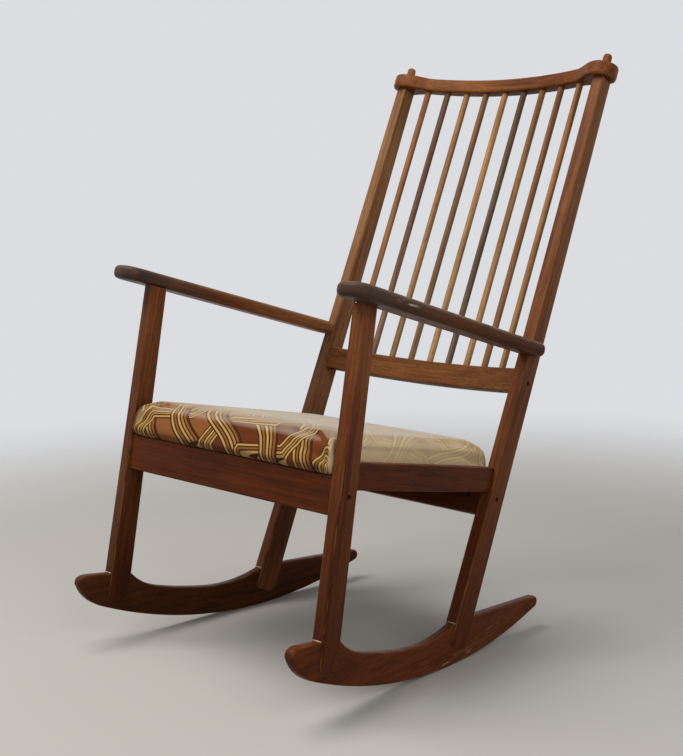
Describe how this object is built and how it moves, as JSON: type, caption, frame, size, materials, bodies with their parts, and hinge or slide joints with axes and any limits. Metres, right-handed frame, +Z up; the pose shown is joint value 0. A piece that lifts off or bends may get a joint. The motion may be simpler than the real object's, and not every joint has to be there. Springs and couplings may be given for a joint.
{
  "type": "rocking chair",
  "caption": "High spindle-back wooden rocking chair on sawn runners, with flat sloping arms and a drop-in upholstered seat pad.",
  "frame": {"origin": "on the floor, under the middle of the chair's overall box, in the pose in which the unloaded chair balances", "axes": "+Z up, +X to the sitter's left, the sitter faces -Y"},
  "size_m": [0.623, 0.8667, 1.0268],
  "materials": {
    "frame_wood": "satin oiled reddish-brown hardwood",
    "arm_wood": "worn reddish-brown hardwood, greyed on top",
    "spindle_wood": "satin oiled dowel, tones differ from one to the next",
    "plywood": "bare plywood",
    "foam": "aged upholstery foam",
    "seat_fabric": "matte woven upholstery with banded arcs",
    "staple_steel": "galvanised wire",
    "bolt_steel": "dull zinc-plated steel",
    "dowel_wood": "plain beech"
  },
  "bodies": {
    "frame": {"left_rocker": "frame_wood", "right_rocker": "frame_wood", "left_front_leg": "frame_wood", "right_front_leg": "frame_wood", "left_rear_post": "frame_wood", "right_rear_post": "frame_wood", "left_armrest": "arm_wood", "right_armrest": "arm_wood", "left_side_rail": "frame_wood", "right_side_rail": "frame_wood", "front_seat_rail": "frame_wood", "rear_seat_rail": "frame_wood", "lower_back_rail": "frame_wood", "crest_rail": "frame_wood", "spindle_1": "spindle_wood", "spindle_2": "spindle_wood", "spindle_3": "spindle_wood", "spindle_4": "spindle_wood", "spindle_5": "spindle_wood", "spindle_6": "spindle_wood", "spindle_7": "spindle_wood", "spindle_8": "spindle_wood", "spindle_9": "spindle_wood", "rail_bolts": "bolt_steel", "barrel_nuts": "bolt_steel", "arm_dowels": "dowel_wood"},
    "seat_pad": {"seat_board": "plywood", "seat_foam": "foam", "seat_cover": "seat_fabric", "cover_staples": "staple_steel"}
  },
  "joints": [
    {"name": "seat_lift", "type": "slide", "parent": "frame", "child": "seat_pad", "axis": [0, 0.1925, 0.9813], "range_m": [0, 0.1]}
  ]
}
